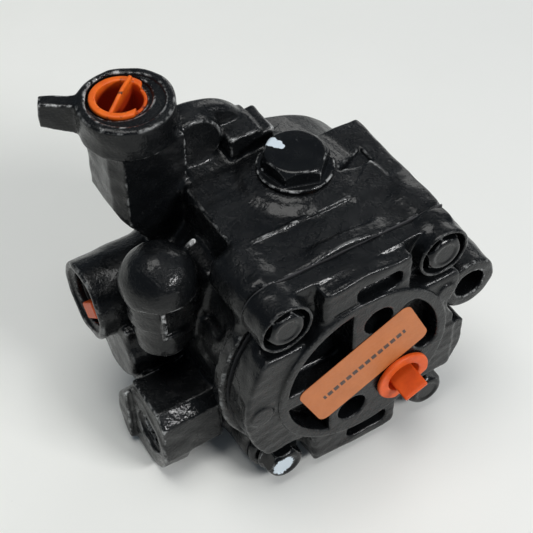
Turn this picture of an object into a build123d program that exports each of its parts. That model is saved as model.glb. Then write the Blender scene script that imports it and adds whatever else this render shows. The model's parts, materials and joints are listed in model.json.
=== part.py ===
from build123d import *
import math
import os

# Axial piston pump with a fixed swash plate, in millimetres.
# The origin is on the shaft axis in the plane of the mounting face. The shaft points
# along +Y, the bolted port cover faces -Y, +Z is up and +X is the side with the lug.
# Positions along the shaft are depths behind the cover's front face.

MOUNT_DEPTH = 86.0          # cover face to mounting face
COVER_BACK = 14.0           # cover face to gasket
GASKET = 0.6
FLANGE_FRONT = COVER_BACK + GASKET
BOLT_X, BOLT_Z = 32.0, 39.7  # half the cover bolt spacing
BOLT_SEAT = 9.0
PILOT_R = 27.0
CAVITY_R = 34.0
CAVITY_END = 80.0

TOP_Z = 50.0                # top face of the block
BLOCK_LEFT, BLOCK_RIGHT = -33.0, 39.0
PLUG_X, PLUG_DEPTH = 4.0, 54.0
TOWER_X, TOWER_DEPTH, TOWER_TOP = -44.5, 84.0, 84.5
TOWER_R, TOWER_BORE_R, COLLAR_LOW = 17.0, 9.4, 71.4
TOWER_BORE = (-45.4, 87.0)   # x and depth: the bore is off the collar's centre
TAB_ANGLE = 148.0           # direction of the tower's tab, seen from above
SIDE_X, SIDE_DEPTH, SIDE_Z = -75.5, 73.0, 9.5
SIDE_R, SIDE_BORE_R = 15.5, 10.6
DOME_X, DOME_DEPTH, DOME_Z, DOME_R = -55.5, 48.0, 34.0, 14.0
DOME_LOW = 3.0
CORE_X, CORE_DEPTH, CORE_Z = -70.5, 36.0, -31.5
LUG_X, LUG_Z, LUG_R, LUG_HOLE_R = 48.5, 11.2, 11.6, 6.3
PORT_X, PORT_Z, PORT_R = 16.8, -15.8, 8.6
PORT_ANGLE = math.degrees(math.atan2(PORT_Z, PORT_X))

PISTONS = 7
PISTON_PITCH_R = 20.0
PISTON_BORE_R = 6.5
PISTON_R = PISTON_BORE_R - 0.03
TILT = 10.0                 # swash plate angle
BARREL_FRONT, BARREL_END, BORE_END = 22.5, 53.5, 27.0
BARREL_R = 30.0
NOSE_TIP = 61.5             # piston crown at the outer end of its stroke
RACE_DEPTH = 65.6           # running face of the thrust race, on the shaft axis
SPOOL_BORE_R = 7.0
SPOOL_R = SPOOL_BORE_R - 0.03

BOLTS = [(sx * BOLT_X, sz * BOLT_Z) for sz in (1, -1) for sx in (-1, 1)]
BARREL_ANGLES = [90.0 + 360.0 * i / PISTONS for i in range(PISTONS)]
CUT = Mode.SUBTRACT


def y_of(depth):
    """Y of a depth behind the cover's front face."""
    return depth - MOUNT_DEPTH


def rod_x(radius, x0, x1, depth, z, mode=Mode.ADD):
    """Cylinder along X."""
    with Locations(((x0 + x1) / 2, y_of(depth), z)):
        Cylinder(radius, abs(x1 - x0), rotation=(0, 90, 0), mode=mode)


def rod_y(radius, near, far, x=0.0, z=0.0, mode=Mode.ADD):
    """Cylinder along the shaft direction, between two depths."""
    with Locations((x, y_of((near + far) / 2), z)):
        Cylinder(radius, abs(far - near), rotation=(90, 0, 0), mode=mode)


def rod_z(radius, z0, z1, x, depth, mode=Mode.ADD):
    """Upright cylinder."""
    with Locations((x, y_of(depth), (z0 + z1) / 2)):
        Cylinder(radius, abs(z1 - z0), mode=mode)


def ball(radius, x, depth, z, mode=Mode.ADD):
    """Sphere."""
    with Locations((x, y_of(depth), z)):
        Sphere(radius, mode=mode)


def block(x0, x1, near, far, z0, z1, mode=Mode.ADD):
    """Box given by its limits."""
    with Locations(((x0 + x1) / 2, y_of((near + far) / 2), (z0 + z1) / 2)):
        Box(x1 - x0, far - near, z1 - z0, mode=mode)


def facing(depth):
    """Plane that faces the cover side, with X to the right and Z up."""
    return Plane.XZ.offset(-y_of(depth))


def tube_y(outer, inner, near, far, x=0.0, z=0.0):
    """Ring along the shaft direction."""
    rod_y(outer, near, far, x, z)
    rod_y(inner, near - 1, far + 1, x, z, mode=CUT)


def polar(radius, degrees):
    """Point in the XZ plane at an angle from +X towards +Z."""
    a = math.radians(degrees)
    return radius * math.cos(a), radius * math.sin(a)


def coil(radius, wire, length, turns, base, direction):
    """Helical spring of round wire that starts at base and runs along direction."""
    pitch = (length - wire) / turns
    start = Plane(base, z_dir=direction)
    path = Helix(pitch, length - wire, radius)
    path = start.location * Location((0, 0, wire / 2)) * path
    section = Plane(origin=path @ 0, z_dir=path % 0) * Circle(wire / 2)
    return sweep(section, path=path)


# The plane that the pistons run on: it leans by TILT about an axis that points at the
# delivery port, so the strokes change over between the two kidney slots.
lean_axis = Vector(*[polar(1.0, PORT_ANGLE)[0], 0.0, polar(1.0, PORT_ANGLE)[1]])
race_normal = Vector(0, -1, 0).rotate(Axis((0, 0, 0), lean_axis), TILT)
RACE_PLANE = Plane(origin=(0, y_of(RACE_DEPTH), 0), x_dir=lean_axis, z_dir=race_normal)


def tilted_ring(outer, inner, front, back):
    """Ring square to the running face, between two distances behind it."""
    with Locations(RACE_PLANE.location):
        with Locations((0, 0, -(front + back) / 2)):
            Cylinder(outer, back - front)
            Cylinder(inner, back - front + 2, mode=CUT)


# ---------------------------------------------------------------- cast housing
def tower_tab():
    """Flat tab on the tower's collar, with flanks that taper into it."""
    a = math.radians(TAB_ANGLE)
    out = Vector(math.cos(a), math.sin(a), 0)
    origin = Vector(TOWER_X, y_of(TOWER_DEPTH), 0)
    side = Plane(origin=origin, x_dir=out, z_dir=Vector(math.sin(a), -math.cos(a), 0))
    with BuildSketch(side) as outline:
        with BuildLine():
            Polyline(
                (8, TOWER_TOP - 0.5), (30.2, TOWER_TOP - 0.5), (30.5, 74.6),
                (16, COLLAR_LOW), (8, COLLAR_LOW), (8, TOWER_TOP - 0.5),
            )
        make_face()
    extrude(outline.sketch, amount=2.6, both=True)
    top = Plane(origin=origin, x_dir=out, z_dir=(0, 0, 1)).offset(COLLAR_LOW + 0.6)
    with BuildSketch(top) as outline:
        with BuildLine():
            Polyline((3, 14), (19, 2.7), (19, -2.7), (3, -14), (3, 14))
        make_face()
    extrude(outline.sketch, amount=TOWER_TOP - COLLAR_LOW - 1.4)


def tower():
    """Upright port: round collar, square barrel and a web across to the block."""
    rod_z(TOWER_R, COLLAR_LOW, TOWER_TOP, TOWER_X, TOWER_DEPTH)
    with BuildSketch(Plane.XY.offset(35)) as outline:
        with BuildLine():
            corners = [(-57, 75.5), (-57, 94), (-52, 100), (-39, 100), (-33, 92),
                       (-30, 85.5), (-30, 70.5), (-53, 70.5)]
            Polyline(*[(x, y_of(d)) for x, d in corners + corners[:1]])
        make_face()
    extrude(outline.sketch, amount=COLLAR_LOW + 1 - 35)
    with BuildSketch(facing(101)) as outline:
        with BuildLine():
            Polyline((-58, 44), (-58, 34), (-51, 34), (-58, 44))
        make_face()
    extrude(outline.sketch, amount=32, mode=CUT)
    with BuildSketch(facing(85)) as outline:
        with BuildLine():
            Polyline(
                (-52, 38), (-49.5, 31), (-44, 24.5), (-38, 18), (-31, 12), (-20, 12),
                (-20, 48), (-31, 48), (-52, 38),
            )
        make_face()
    extrude(outline.sketch, amount=14.5)
    tower_tab()


def side_wall():
    """Manifold on the left with the bosses that face -X."""
    block(-46, -25, 27, 52, -42, 2)
    block(-62, -25, 50, 79, -42, 1.6)
    block(-50, -25, 60, 82, -4, 24)
    rod_x(SIDE_R, SIDE_X, -30, SIDE_DEPTH, SIDE_Z)
    rod_x(15, -68, -30, 66, -11)
    rod_x(16.3, -65.5, -30, 42, -30)
    block(-66, -58, 54, 62, -4, 5)
    rod_z(10.3, DOME_LOW, 20, DOME_X, DOME_DEPTH)
    rod_z(13, 18, DOME_Z, DOME_X, DOME_DEPTH)
    ball(DOME_R, DOME_X, DOME_DEPTH, DOME_Z)
    block(-50, -30, 42, 60, DOME_LOW + 1, 32)
    rod_x(16.5, -74, -60, 40.5, -34)
    block(-75, CORE_X, 20, 48.3, -52, -8, mode=CUT)
    with BuildSketch(Plane.YZ.offset(CORE_X)) as outline:
        with BuildLine():
            near, far = y_of(CORE_DEPTH - 12), y_of(CORE_DEPTH + 12)
            Polyline(
                (near, -38.5), (near + 6, -44.5), (far - 4, -44.5), (far, -40),
                (far, -13.2), (near + 5, -13.2), (near, -18), (near, -38.5),
            )
        make_face()
    extrude(outline.sketch, amount=24)


def outer_casting():
    """Outside of the cast body before it is machined."""
    rod_y(52, FLANGE_FRONT, 20)
    rod_y(46, 20, 72)
    rod_y(50, 72, MOUNT_DEPTH)
    rod_y(PILOT_R, MOUNT_DEPTH, 103)
    for x, z in BOLTS:
        rod_y(10.5, FLANGE_FRONT, 36, x, z)
    block(BLOCK_LEFT, BLOCK_RIGHT, FLANGE_FRONT, 67, 0, TOP_Z - 0.6)
    block(BLOCK_LEFT, 13, 33, 67, 40, TOP_Z)
    block(BLOCK_LEFT, -2, 60, 80, 0, TOP_Z - 1)
    rod_y(25, 79, MOUNT_DEPTH, -21, 49.5)
    block(-13, 1, 70, MOUNT_DEPTH, 40, 60.5)
    block(1, 5.5, 70, MOUNT_DEPTH, 40, 58.5)
    rod_z(15.5, 40, 52, PLUG_X, PLUG_DEPTH)
    rod_y(LUG_R, 4, 24, LUG_X, LUG_Z)
    block(34, LUG_X, FLANGE_FRONT, 24, LUG_Z - LUG_R, LUG_Z + LUG_R)
    side_wall()
    tower()


def housing_passages():
    """Cavity, bearing seat, ports, valve bores and threaded holes."""
    rod_y(CAVITY_R, 10, CAVITY_END, mode=CUT)
    rod_y(23.5, 79, 94, mode=CUT)
    rod_y(17.5, 90, 110, mode=CUT)
    rod_y(18.7, 101, 102.3, mode=CUT)
    for x, z in BOLTS:
        rod_y(4.05, 10, 33, x, z, mode=CUT)
    rod_z(TOWER_BORE_R, 38.8, 100, *TOWER_BORE, mode=CUT)
    rod_z(11.4, TOWER_TOP - 2.4, 100, *TOWER_BORE, mode=CUT)
    rod_z(13.6, TOWER_TOP - 1, 100, TOWER_X, TOWER_DEPTH, mode=CUT)
    rod_x(4.3, TOWER_X, -18, 79, 44.2, mode=CUT)
    rod_z(4.1, 20, 44.2, -18, 75, mode=CUT)
    rod_x(SIDE_BORE_R, -90, -58, SIDE_DEPTH, SIDE_Z, mode=CUT)
    rod_x(4.5, -59, -20, SIDE_DEPTH - 4.5, SIDE_Z, mode=CUT)
    rod_x(7.3, -90, -61, CORE_DEPTH, CORE_Z, mode=CUT)
    rod_z(SPOOL_BORE_R, -5, 40, DOME_X, DOME_DEPTH, mode=CUT)
    rod_y(2.5, DOME_DEPTH, SIDE_DEPTH, DOME_X - 5, 14, mode=CUT)
    rod_x(2.5, DOME_X, -20, DOME_DEPTH, 18, mode=CUT)
    rod_y(LUG_HOLE_R, 0, 30, LUG_X, LUG_Z, mode=CUT)
    rod_y(10, 24, 45, LUG_X, LUG_Z, mode=CUT)
    rod_z(9.05, 44, 60, PLUG_X, PLUG_DEPTH, mode=CUT)
    rod_z(5, 38, 45, PLUG_X, PLUG_DEPTH, mode=CUT)
    rod_z(3, 30, 39, PLUG_X, PLUG_DEPTH, mode=CUT)


with BuildPart() as pump_housing:
    outer_casting()
    housing_passages()
pump_housing.part.label = "pump_housing"

# ------------------------------------------------------------------ port cover
def disc_pocket(x0, x1, z0, z1, corner):
    """Cast pocket in the cover disc, bounded by the rim and two straight webs."""
    with BuildSketch(facing(-1)) as outline:
        Circle(32)
        with Locations(((x0 + x1) / 2, (z0 + z1) / 2)):
            Rectangle(x1 - x0, z1 - z0, mode=Mode.INTERSECT)
        fillet(outline.vertices(), corner)
    extrude(outline.sketch, amount=-10, mode=CUT)


def arc_slot(radius, width, start, end, near, depth):
    """Curved slot around the shaft axis, cut backwards from a depth."""
    with BuildSketch(facing(near)) as outline:
        with BuildLine() as middle:
            ThreePointArc(
                polar(radius, start), polar(radius, (start + end) / 2), polar(radius, end)
            )
        SlotArc(middle.edges()[0], width)
    extrude(outline.sketch, amount=-depth, mode=CUT)


def rim_slot(x, z, width, height):
    """Slot near the rim of the cover."""
    with BuildSketch(facing(0)) as outline:
        with Locations((x, z)):
            RectangleRounded(width, height, 3)
    extrude(outline.sketch, amount=-7, mode=CUT)


with BuildPart() as front_cover:
    rod_y(49, 1.2, COVER_BACK)
    block(40, 60, 0, 20, -3, 60, mode=CUT)
    block(45.5, 60, 0, 20, -30, 0, mode=CUT)
    block(-18, 19, 1.2, COVER_BACK, 0, 47.5)
    block(-20, 17, 1.2, COVER_BACK, -47.5, 0)
    for x, z in BOLTS:
        rod_y(10, BOLT_SEAT, COVER_BACK, x, z)
        rod_y(11.5, -1, BOLT_SEAT, x, z, mode=CUT)
    block(-50, -18, -1, BOLT_SEAT, 27, 52, mode=CUT)
    block(19, 52, -1, BOLT_SEAT, 27, 52, mode=CUT)
    block(-50, -21, -1, BOLT_SEAT, -52, -29, mode=CUT)
    block(18, 50, -1, BOLT_SEAT, -52, -29, mode=CUT)
    block(BLOCK_LEFT, BLOCK_RIGHT, 7, COVER_BACK, 30, TOP_Z - 0.6)
    for x, z in BOLTS[:2]:
        rod_y(10.4, 1.5, COVER_BACK, x, z)
        rod_y(9, -1, BOLT_SEAT, x, z, mode=CUT)
    rod_y(36, 0, 5)
    rod_y(4.5, 0.4, 5, 35, 18)
    rod_y(33.8, COVER_BACK - 1, 18.5)
    rod_y(LUG_R + 0.4, -1, 20, LUG_X, LUG_Z, mode=CUT)
    disc_pocket(-33, -6, 3.5, 33, 3)
    disc_pocket(-33, -14.5, -33, -4, 3)
    arc_slot(27, 9.5, -4, 47, -1, 10)
    rim_slot(5, 39.2, 18.5, 7)
    rim_slot(3.8, -40, 17.5, 7)
    rod_y(6, -1, 9, 4.7, 22.4, mode=CUT)
    rod_y(6, -1, 9, -4.5, -22.2, mode=CUT)
    rod_y(PORT_R, -1, 20, PORT_X, PORT_Z, mode=CUT)
    rod_y(11.5, 10.5, 20, mode=CUT)
    for x, z in BOLTS:
        rod_y(4.4, 0, 20, x, z, mode=CUT)
    suction_x, suction_z = polar(23.5, PORT_ANGLE + 180)
    with Locations(Location((suction_x, y_of(17), suction_z), (0, -PORT_ANGLE, 0))):
        Box(22, 4, 16, mode=CUT)
    pin_x, pin_z = polar(26, PORT_ANGLE + 90)
    rod_y(1.5, 15.5, 19, pin_x, pin_z, mode=CUT)
front_cover.part.label = "front_cover"

with BuildPart() as cover_gasket:
    rod_y(49, COVER_BACK, FLANGE_FRONT)
    block(BLOCK_LEFT, BLOCK_RIGHT, COVER_BACK, FLANGE_FRONT, 30, TOP_Z - 0.6)
    for x, z in BOLTS:
        rod_y(10, COVER_BACK, FLANGE_FRONT, x, z)
        rod_y(4.6, 10, 20, x, z, mode=CUT)
    rod_y(34.5, 10, 20, mode=CUT)
    rod_y(LUG_R + 0.4, 10, 20, LUG_X, LUG_Z, mode=CUT)
cover_gasket.part.label = "cover_gasket"

with BuildPart() as cover_bolts:
    for x, z in BOLTS:
        rod_y(4, BOLT_SEAT - 1, 32, x, z)
        rod_y(8.4, BOLT_SEAT - 1.6, BOLT_SEAT, x, z)
        with BuildSketch(facing(BOLT_SEAT - 1.5)):
            with Locations((x, z)):
                RegularPolygon(6.5, 6, major_radius=False)
        extrude(amount=6.5)
cover_bolts.part.label = "cover_bolts"

# --------------------------------------------------------------- shaft and barrel
SPLINES = 12

with BuildPart() as drive_shaft:
    rod_y(9, 11.5, 23)
    rod_y(9.4, 22, 60)
    for i in range(SPLINES):
        with Locations(Location((0, y_of(38), 0), (0, 360 * i / SPLINES, 0))):
            Box(2.4, 30, 21.2)
    rod_y(10, 55, 94)
    rod_y(12, 76.5, CAVITY_END)
    rod_y(9.5, 93, 116)
    rod_y(9, 115, 128)
    block(-2.5, 2.5, 105.5, 114.5, 6, 12, mode=CUT)
    chamfer(edges().filter_by(GeomType.CIRCLE).sort_by(Axis.Y)[-1], 1)
drive_shaft.part.label = "drive_shaft"

with BuildPart() as drive_key:
    block(-2.48, 2.48, 105.55, 114.45, 6.02, 11.5)
drive_key.part.label = "drive_key"

with BuildPart() as cylinder_barrel:
    rod_y(BARREL_R, BARREL_FRONT, BARREL_END)
    rod_y(9.5, 20, 60, mode=CUT)
    for i in range(SPLINES):
        with Locations(Location((0, y_of(38), 0), (0, 360 * i / SPLINES, 0))):
            Box(2.5, 34, 21.5, mode=CUT)
    for angle in BARREL_ANGLES:
        px, pz = polar(PISTON_PITCH_R, angle)
        rod_y(PISTON_BORE_R, BORE_END, 60, px, pz, mode=CUT)
        rod_y(3.2, 20, BORE_END + 1, px, pz, mode=CUT)
cylinder_barrel.part.label = "cylinder_barrel"

with BuildPart() as valve_plate:
    tube_y(30, 12, 18.5, 22.4)
    for turn in (0, 180):
        mid = PORT_ANGLE + turn
        arc_slot(PISTON_PITCH_R, 6.4, mid - 58, mid + 58, 17, 6)
    rod_y(1.55, 17, 21.5, pin_x, pin_z, mode=CUT)
valve_plate.part.label = "valve_plate"

with BuildPart() as valve_plate_pin:
    rod_y(1.5, 15.6, 21.4, pin_x, pin_z)
valve_plate_pin.part.label = "valve_plate_pin"

with BuildPart() as front_bush:
    tube_y(11.5, 9.03, 11, 18.4)
front_bush.part.label = "front_bush"

# ------------------------------------------------------------ pistons and springs
NOSE_R = 10.0
nose_centre = NOSE_TIP - NOSE_R
nose_angle = math.asin(PISTON_R / NOSE_R)
nose_rise = NOSE_R * math.cos(nose_angle)

pieces = {}
for number, angle in enumerate(BARREL_ANGLES, 1):
    px, pz = polar(PISTON_PITCH_R, angle)
    with BuildPart() as piston:
        with BuildSketch(Plane((px, 0, pz))):
            with BuildLine():
                Polyline(
                    (0, y_of(NOSE_TIP)), (0, y_of(54)), (4.7, y_of(54)), (4.7, y_of(36)),
                    (PISTON_R, y_of(36)), (PISTON_R, y_of(nose_centre) + nose_rise),
                )
                ThreePointArc(
                    (PISTON_R, y_of(nose_centre) + nose_rise),
                    (
                        NOSE_R * math.sin(nose_angle / 2),
                        y_of(nose_centre) + NOSE_R * math.cos(nose_angle / 2),
                    ),
                    (0, y_of(NOSE_TIP)),
                )
            make_face()
        revolve(axis=Axis((px, 0, pz), (0, 1, 0)))
    pieces[f"piston_{number}"] = piston.part
    pieces[f"piston_spring_{number}"] = coil(
        3.8, 1.0, 54 - BORE_END, 7, (px, y_of(BORE_END), pz), (0, 1, 0)
    )

# -------------------------------------------------- swash plate and thrust bearing
RACE_T = 2.0
THRUST_BALL_R = 2.0
THRUST_PITCH_R = 20.0
BALL_LINE = 3.4             # ball centres behind the running face
REAR_RACE = 4.8
SWASH_SEAT = 6.8
THRUST_BALLS = 20


def thrust_groove():
    """Ball groove, common to both races."""
    with Locations(RACE_PLANE.location):
        with Locations((0, 0, -BALL_LINE)):
            Torus(THRUST_PITCH_R, THRUST_BALL_R + 0.04, mode=CUT)


with BuildPart() as thrust_race_front:
    tilted_ring(27, 13.5, 0, RACE_T)
    thrust_groove()
thrust_race_front.part.label = "thrust_race_front"

with BuildPart() as thrust_race_rear:
    tilted_ring(27, 13.5, REAR_RACE, SWASH_SEAT)
    thrust_groove()
thrust_race_rear.part.label = "thrust_race_rear"

with BuildPart() as thrust_balls:
    with Locations(RACE_PLANE.location):
        with Locations((0, 0, -BALL_LINE)):
            with PolarLocations(THRUST_PITCH_R, THRUST_BALLS):
                Sphere(THRUST_BALL_R)
thrust_balls.part.label = "thrust_balls"

with BuildPart() as thrust_cage:
    tilted_ring(24.5, 15.5, BALL_LINE - 0.9, BALL_LINE + 0.9)
    with Locations(RACE_PLANE.location):
        with Locations((0, 0, -BALL_LINE)):
            with PolarLocations(THRUST_PITCH_R, THRUST_BALLS):
                Sphere(THRUST_BALL_R + 0.05, mode=CUT)
thrust_cage.part.label = "thrust_cage"

with BuildPart() as swash_plate:
    rod_y(33.5, 60, CAVITY_END)
    with Locations(RACE_PLANE.location):
        with Locations((0, 0, 50 - SWASH_SEAT)):
            Box(140, 140, 100, mode=CUT)
    rod_y(14.5, 50, 90, mode=CUT)
    stop_x, stop_z = polar(28.5, PORT_ANGLE + 90)
    rod_y(2, 76, 84, stop_x, stop_z, mode=CUT)
swash_plate.part.label = "swash_plate"

# ----------------------------------------------------------------- shaft bearing
BEARING_NEAR, BEARING_FAR = CAVITY_END, CAVITY_END + 14
BEARING_MID = (BEARING_NEAR + BEARING_FAR) / 2
BALL_PITCH_R = 16.75
BALL_R = 3.95
BEARING_BALLS = 8


def bearing_groove():
    """Ball groove, common to both rings."""
    with Locations(Location((0, y_of(BEARING_MID), 0), (90, 0, 0))):
        Torus(BALL_PITCH_R, BALL_R + 0.05, mode=CUT)


def bearing_spots():
    """Placed ring of ball centres, used as a context."""
    return Locations(Location((0, y_of(BEARING_MID), 0), (90, 0, 0)))


with BuildPart() as bearing_outer_ring:
    tube_y(23.5, 18.9, BEARING_NEAR, BEARING_FAR)
    bearing_groove()
bearing_outer_ring.part.label = "bearing_outer_ring"

with BuildPart() as bearing_inner_ring:
    tube_y(14.6, 10, BEARING_NEAR, BEARING_FAR)
    bearing_groove()
bearing_inner_ring.part.label = "bearing_inner_ring"

with BuildPart() as bearing_balls:
    with bearing_spots():
        with PolarLocations(BALL_PITCH_R, BEARING_BALLS):
            Sphere(BALL_R)
bearing_balls.part.label = "bearing_balls"

with BuildPart() as bearing_cage:
    tube_y(18.1, 15.4, BEARING_MID - 5.5, BEARING_MID + 5.5)
    with bearing_spots():
        with PolarLocations(BALL_PITCH_R, BEARING_BALLS):
            Cylinder(BALL_R + 0.1, 12, rotation=(0, 90, 0), mode=CUT)
bearing_cage.part.label = "bearing_cage"

with BuildPart() as shaft_seal:
    tube_y(17.5, 16, 94.5, 101)
    tube_y(16.5, 11.5, 99.6, 101)
    tube_y(12.6, 9.55, 96.4, 100.4)
shaft_seal.part.label = "shaft_seal"

with BuildPart() as seal_retaining_ring:
    tube_y(18.6, 15, 101.1, 102.2)
    block(-2.5, 2.5, 100, 103, -20, -10, mode=CUT)
seal_retaining_ring.part.label = "seal_retaining_ring"

# -------------------------------------------------------- valve under the hex plug
CHECK_BALL_Z = 41.7
PLUG_STEM_Z = 45.2
PLUG_POCKET_Z = 55.0

with BuildPart() as hex_plug:
    rod_z(9, PLUG_STEM_Z, 53, PLUG_X, PLUG_DEPTH)
    rod_z(14, 53, 54.2, PLUG_X, PLUG_DEPTH)
    with BuildSketch(Plane.XY.offset(54)):
        with Locations((PLUG_X, y_of(PLUG_DEPTH))):
            RegularPolygon(11, 6, major_radius=False, rotation=12)
    extrude(amount=6.5)
    rod_z(5.5, 40, PLUG_POCKET_Z, PLUG_X, PLUG_DEPTH, mode=CUT)
    chamfer(faces().sort_by(Axis.Z)[-1].edges(), 0.8)
hex_plug.part.label = "hex_plug"

with BuildPart() as plug_washer:
    rod_z(12.6, 52, 53, PLUG_X, PLUG_DEPTH)
    rod_z(9.1, 51, 54, PLUG_X, PLUG_DEPTH, mode=CUT)
plug_washer.part.label = "plug_washer"

with BuildPart() as check_ball:
    ball(4.5, PLUG_X, PLUG_DEPTH, CHECK_BALL_Z)
check_ball.part.label = "check_ball"

CHECK_SPRING_BASE = 45.6
pieces["check_spring"] = coil(
    3.4, 0.8, PLUG_POCKET_Z - CHECK_SPRING_BASE, 4,
    (PLUG_X, y_of(PLUG_DEPTH), CHECK_SPRING_BASE), (0, 0, 1)
)

# ------------------------------------------------------------ relief valve in dome
SPOOL_LOW, SPOOL_HIGH = 10.5, 27.0

with BuildPart() as relief_spool:
    rod_z(SPOOL_R, SPOOL_LOW, SPOOL_HIGH, DOME_X, DOME_DEPTH)
    rod_z(SPOOL_R + 1, 15, 21, DOME_X, DOME_DEPTH, mode=CUT)
    rod_z(4.2, SPOOL_LOW, SPOOL_HIGH, DOME_X, DOME_DEPTH)
    rod_z(2.4, 20, 30, DOME_X, DOME_DEPTH, mode=CUT)
relief_spool.part.label = "relief_spool"

pieces["relief_spring"] = coil(
    4.6, 1.2, 40 - SPOOL_HIGH, 4, (DOME_X, y_of(DOME_DEPTH), SPOOL_HIGH), (0, 0, 1)
)

with BuildPart() as relief_plug:
    rod_z(SPOOL_BORE_R, 3.6, 10, DOME_X, DOME_DEPTH)
    rod_z(3, 0, 7, DOME_X, DOME_DEPTH, mode=CUT)
relief_plug.part.label = "relief_plug"

with BuildPart() as core_plug:
    rod_x(7.3, -69, -64, CORE_DEPTH, CORE_Z)
    rod_x(6.3, -70, -65.2, CORE_DEPTH, CORE_Z, mode=CUT)
core_plug.part.label = "core_plug"

# -------------------------------------------------------------- pull-out port caps
CAP_PLAY = 0.03

with BuildPart() as tower_cap:
    rod_z(10.7, TOWER_TOP - 2.3, TOWER_TOP - 0.4, *TOWER_BORE)
    rod_z(TOWER_BORE_R - CAP_PLAY, 68, TOWER_TOP - 1, *TOWER_BORE)
    rod_z(8, 69.5, 90, *TOWER_BORE, mode=CUT)
    vane_x, vane_y = TOWER_BORE[0], y_of(TOWER_BORE[1])
    with Locations(Location((vane_x, vane_y, 0), (0, 0, -15))):
        with Locations((12.2, 0, 90)):
            Box(5, 9, 24, mode=CUT)
    with Locations(Location((vane_x, vane_y, 0), (0, 0, 38))):
        with Locations((0, 0, (69 + TOWER_TOP + 1.5) / 2)):
            Box(16.6, 1.2, TOWER_TOP + 1.5 - 69)
tower_cap.part.label = "tower_cap"

with BuildPart() as side_cap:
    rod_x(SIDE_BORE_R - CAP_PLAY, -71, -60, SIDE_DEPTH, SIDE_Z)
    rod_x(9, -80, -61.6, SIDE_DEPTH, SIDE_Z, mode=CUT)
    with Locations(Location((-67.8, y_of(SIDE_DEPTH - 1), SIDE_Z - 1), (45, 0, 0))):
        Box(13, 7.4, 17)
side_cap.part.label = "side_cap"

with BuildPart() as front_cap:
    rod_y(11.2, -2.3, -0.3, PORT_X, PORT_Z)
    rod_y(PORT_R - CAP_PLAY, -1, 12.5, PORT_X, PORT_Z)
    rod_y(6.8, -5, 11, PORT_X, PORT_Z, mode=CUT)
    with Locations(Location((PORT_X, y_of(0), PORT_Z), (0, 60, 0))):
        with Locations((10.5, 0, 0)):
            Box(5, 6, 20, mode=CUT)
    with Locations(Location((PORT_X, y_of(0), PORT_Z), (0, -23, 0))):
        Box(10.3, 21, 1.5)
front_cap.part.label = "front_cap"

with BuildPart() as label:
    with BuildSketch(facing(0)):
        with Locations(Location((-0.5, 1.6, 0), (0, 0, 25.5))):
            RectangleRounded(50.8, 25.4, 3.5)
    extrude(amount=0.25)
label.part.label = "label"

for builder in (
    pump_housing, front_cover, cover_gasket, cover_bolts, drive_shaft, drive_key,
    cylinder_barrel, valve_plate, valve_plate_pin, front_bush, thrust_race_front,
    thrust_race_rear, thrust_balls, thrust_cage, swash_plate, bearing_outer_ring,
    bearing_inner_ring, bearing_balls, bearing_cage, shaft_seal, seal_retaining_ring,
    hex_plug, plug_washer, check_ball, relief_spool, relief_plug, core_plug,
    tower_cap, side_cap, front_cap, label,
):
    pieces[builder.part.label] = builder.part

os.makedirs("parts", exist_ok=True)
for name, solid in pieces.items():
    solid.label = name
    export_step(solid, f"parts/{name}.step")
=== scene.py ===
import json
import math

import bmesh
import bpy
import numpy as np
from mathutils import Matrix, Vector


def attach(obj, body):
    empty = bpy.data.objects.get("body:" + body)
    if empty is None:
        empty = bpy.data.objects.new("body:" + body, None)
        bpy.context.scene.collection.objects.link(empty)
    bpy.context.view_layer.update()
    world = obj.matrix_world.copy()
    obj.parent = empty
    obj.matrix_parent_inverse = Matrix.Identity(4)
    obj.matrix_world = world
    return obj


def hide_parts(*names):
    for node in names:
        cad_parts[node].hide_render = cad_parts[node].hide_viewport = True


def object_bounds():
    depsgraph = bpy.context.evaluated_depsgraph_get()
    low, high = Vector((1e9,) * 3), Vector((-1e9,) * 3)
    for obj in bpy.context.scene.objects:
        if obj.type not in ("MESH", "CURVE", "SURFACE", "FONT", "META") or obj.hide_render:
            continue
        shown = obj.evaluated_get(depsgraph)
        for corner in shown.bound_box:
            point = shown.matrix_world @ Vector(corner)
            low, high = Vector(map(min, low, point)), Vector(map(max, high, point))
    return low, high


# The pump's painted castings, screws, caps and label. Shapes are worked out in
# millimetres as (x, depth, z), where depth runs back from the cover's front face, and
# become meshes in metres in the row frame.

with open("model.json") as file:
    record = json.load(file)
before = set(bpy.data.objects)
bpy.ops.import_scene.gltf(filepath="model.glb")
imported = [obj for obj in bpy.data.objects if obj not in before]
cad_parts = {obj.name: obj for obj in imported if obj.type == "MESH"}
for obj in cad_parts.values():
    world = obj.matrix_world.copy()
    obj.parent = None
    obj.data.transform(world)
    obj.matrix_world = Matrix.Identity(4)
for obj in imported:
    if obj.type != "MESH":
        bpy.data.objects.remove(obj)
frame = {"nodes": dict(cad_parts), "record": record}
cad_low, cad_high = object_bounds()

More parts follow.
